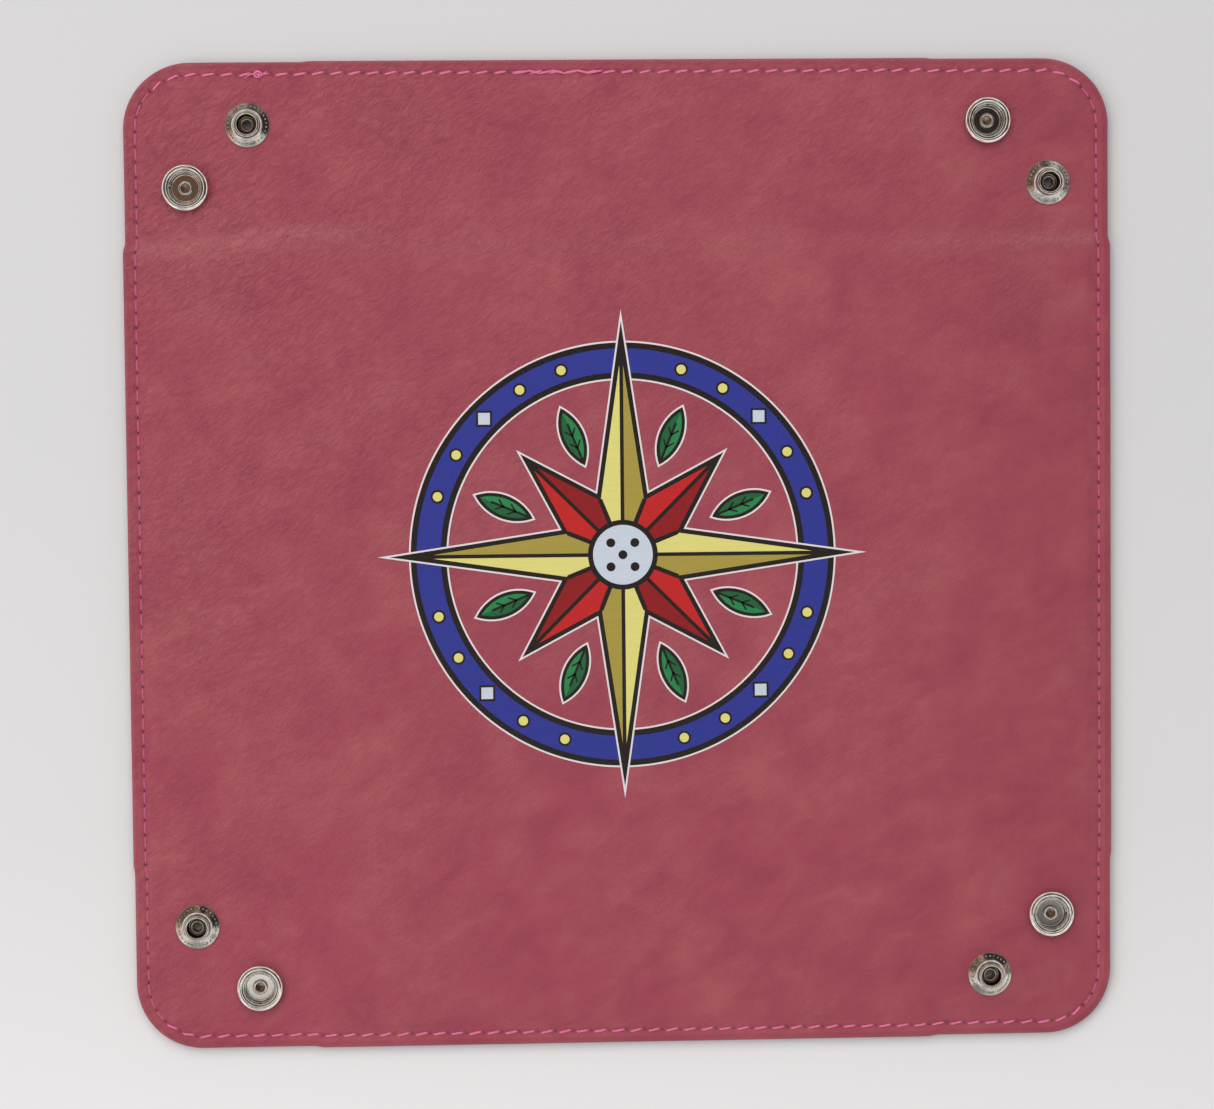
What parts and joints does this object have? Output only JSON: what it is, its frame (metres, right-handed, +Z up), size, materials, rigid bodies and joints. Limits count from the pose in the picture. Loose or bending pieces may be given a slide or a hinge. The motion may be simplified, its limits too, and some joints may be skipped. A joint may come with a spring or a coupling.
{
  "type": "folding dice tray",
  "caption": "Square leatherette dice tray, shown unfolded: stiffened base and wall flaps, soft corners with press snaps, stitched edge and a printed emblem.",
  "frame": {"origin": "centre of the base panel's underside", "axes": "+Z up out of the inner face when the tray lies flat, +Y towards the back wall, +X towards the right wall"},
  "size_m": [0.254, 0.254, 0.0072],
  "materials": {
    "inner_leatherette": "satin rose leatherette with fine grain",
    "outer_leatherette": "satin rose leatherette with fine grain",
    "greyboard": "matte pressed board",
    "thread": "twisted polyester thread",
    "snap_nickel": "bright nickel plate",
    "emblem_ink": "printed film, satin"
  },
  "bodies": {
    "base": {"base_board": "greyboard", "inner_cover_base": "inner_leatherette", "outer_cover_base": "outer_leatherette", "emblem_film": "emblem_ink"},
    "wall_right": {"wall_board_right": "greyboard", "inner_cover_wall_right": "inner_leatherette", "outer_cover_wall_right": "outer_leatherette", "stitching_wall_right": "thread"},
    "corner_right_back": {"inner_cover_corner_right_back": "inner_leatherette", "outer_cover_corner_right_back": "outer_leatherette", "stitching_corner_right_back": "thread", "snap_stud_right_back": "snap_nickel", "snap_eyelet_right_back": "snap_nickel"},
    "corner_right_front": {"inner_cover_corner_right_front": "inner_leatherette", "outer_cover_corner_right_front": "outer_leatherette", "stitching_corner_right_front": "thread", "snap_socket_right_front": "snap_nickel", "snap_cap_right_front": "snap_nickel"},
    "wall_back": {"wall_board_back": "greyboard", "inner_cover_wall_back": "inner_leatherette", "outer_cover_wall_back": "outer_leatherette", "stitching_wall_back": "thread"},
    "corner_back_left": {"inner_cover_corner_back_left": "inner_leatherette", "outer_cover_corner_back_left": "outer_leatherette", "stitching_corner_back_left": "thread", "snap_stud_back_left": "snap_nickel", "snap_eyelet_back_left": "snap_nickel"},
    "corner_back_right": {"inner_cover_corner_back_right": "inner_leatherette", "outer_cover_corner_back_right": "outer_leatherette", "stitching_corner_back_right": "thread", "snap_socket_back_right": "snap_nickel", "snap_cap_back_right": "snap_nickel"},
    "wall_left": {"wall_board_left": "greyboard", "inner_cover_wall_left": "inner_leatherette", "outer_cover_wall_left": "outer_leatherette", "stitching_wall_left": "thread"},
    "corner_left_front": {"inner_cover_corner_left_front": "inner_leatherette", "outer_cover_corner_left_front": "outer_leatherette", "stitching_corner_left_front": "thread", "snap_stud_left_front": "snap_nickel", "snap_eyelet_left_front": "snap_nickel"},
    "corner_left_back": {"inner_cover_corner_left_back": "inner_leatherette", "outer_cover_corner_left_back": "outer_leatherette", "stitching_corner_left_back": "thread", "snap_socket_left_back": "snap_nickel", "snap_cap_left_back": "snap_nickel"},
    "wall_front": {"wall_board_front": "greyboard", "inner_cover_wall_front": "inner_leatherette", "outer_cover_wall_front": "outer_leatherette", "stitching_wall_front": "thread"},
    "corner_front_right": {"inner_cover_corner_front_right": "inner_leatherette", "outer_cover_corner_front_right": "outer_leatherette", "stitching_corner_front_right": "thread", "snap_stud_front_right": "snap_nickel", "snap_eyelet_front_right": "snap_nickel"},
    "corner_front_left": {"inner_cover_corner_front_left": "inner_leatherette", "outer_cover_corner_front_left": "outer_leatherette", "stitching_corner_front_left": "thread", "snap_socket_front_left": "snap_nickel", "snap_cap_front_left": "snap_nickel"}
  },
  "joints": [
    {"name": "fold_wall_right", "type": "hinge", "parent": "base", "child": "wall_right", "pos_m": [0.079, 0, 0.0016], "axis": [0, -1, 0], "range_deg": [0, 90]},
    {"name": "fold_wall_back", "type": "hinge", "parent": "base", "child": "wall_back", "pos_m": [0, 0.079, 0.0016], "axis": [1, 0, 0], "range_deg": [0, 90]},
    {"name": "fold_wall_left", "type": "hinge", "parent": "base", "child": "wall_left", "pos_m": [-0.079, 0, 0.0016], "axis": [0, 1, 0], "range_deg": [0, 90]},
    {"name": "fold_wall_front", "type": "hinge", "parent": "base", "child": "wall_front", "pos_m": [0, -0.079, 0.0016], "axis": [-1, 0, 0], "range_deg": [0, 90]},
    {"name": "fold_corner_right_back", "type": "hinge", "parent": "wall_right", "child": "corner_right_back", "pos_m": [0.099, 0.07469, 0.0016], "axis": [-1, 0, 0], "range_deg": [0, 45]},
    {"name": "fold_corner_right_front", "type": "hinge", "parent": "wall_right", "child": "corner_right_front", "pos_m": [0.099, -0.07469, 0.0016], "axis": [1, 0, 0], "range_deg": [0, 45]},
    {"name": "fold_corner_back_left", "type": "hinge", "parent": "wall_back", "child": "corner_back_left", "pos_m": [-0.07469, 0.099, 0.0016], "axis": [0, -1, 0], "range_deg": [0, 45]},
    {"name": "fold_corner_back_right", "type": "hinge", "parent": "wall_back", "child": "corner_back_right", "pos_m": [0.07469, 0.099, 0.0016], "axis": [0, 1, 0], "range_deg": [0, 45]},
    {"name": "fold_corner_left_front", "type": "hinge", "parent": "wall_left", "child": "corner_left_front", "pos_m": [-0.099, -0.07469, 0.0016], "axis": [1, 0, 0], "range_deg": [0, 45]},
    {"name": "fold_corner_left_back", "type": "hinge", "parent": "wall_left", "child": "corner_left_back", "pos_m": [-0.099, 0.07469, 0.0016], "axis": [-1, 0, 0], "range_deg": [0, 45]},
    {"name": "fold_corner_front_right", "type": "hinge", "parent": "wall_front", "child": "corner_front_right", "pos_m": [0.07469, -0.099, 0.0016], "axis": [0, 1, 0], "range_deg": [0, 45]},
    {"name": "fold_corner_front_left", "type": "hinge", "parent": "wall_front", "child": "corner_front_left", "pos_m": [-0.07469, -0.099, 0.0016], "axis": [0, -1, 0], "range_deg": [0, 45]}
  ],
  "couplings": [
    {"joint": "fold_wall_back", "follows": "fold_wall_right", "ratio": 1},
    {"joint": "fold_wall_left", "follows": "fold_wall_right", "ratio": 1},
    {"joint": "fold_wall_front", "follows": "fold_wall_right", "ratio": 1},
    {"joint": "fold_corner_right_back", "follows": "fold_wall_right", "ratio": 0.5},
    {"joint": "fold_corner_right_front", "follows": "fold_wall_right", "ratio": 0.5},
    {"joint": "fold_corner_back_left", "follows": "fold_wall_right", "ratio": 0.5},
    {"joint": "fold_corner_back_right", "follows": "fold_wall_right", "ratio": 0.5},
    {"joint": "fold_corner_left_front", "follows": "fold_wall_right", "ratio": 0.5},
    {"joint": "fold_corner_left_back", "follows": "fold_wall_right", "ratio": 0.5},
    {"joint": "fold_corner_front_right", "follows": "fold_wall_right", "ratio": 0.5},
    {"joint": "fold_corner_front_left", "follows": "fold_wall_right", "ratio": 0.5}
  ]
}
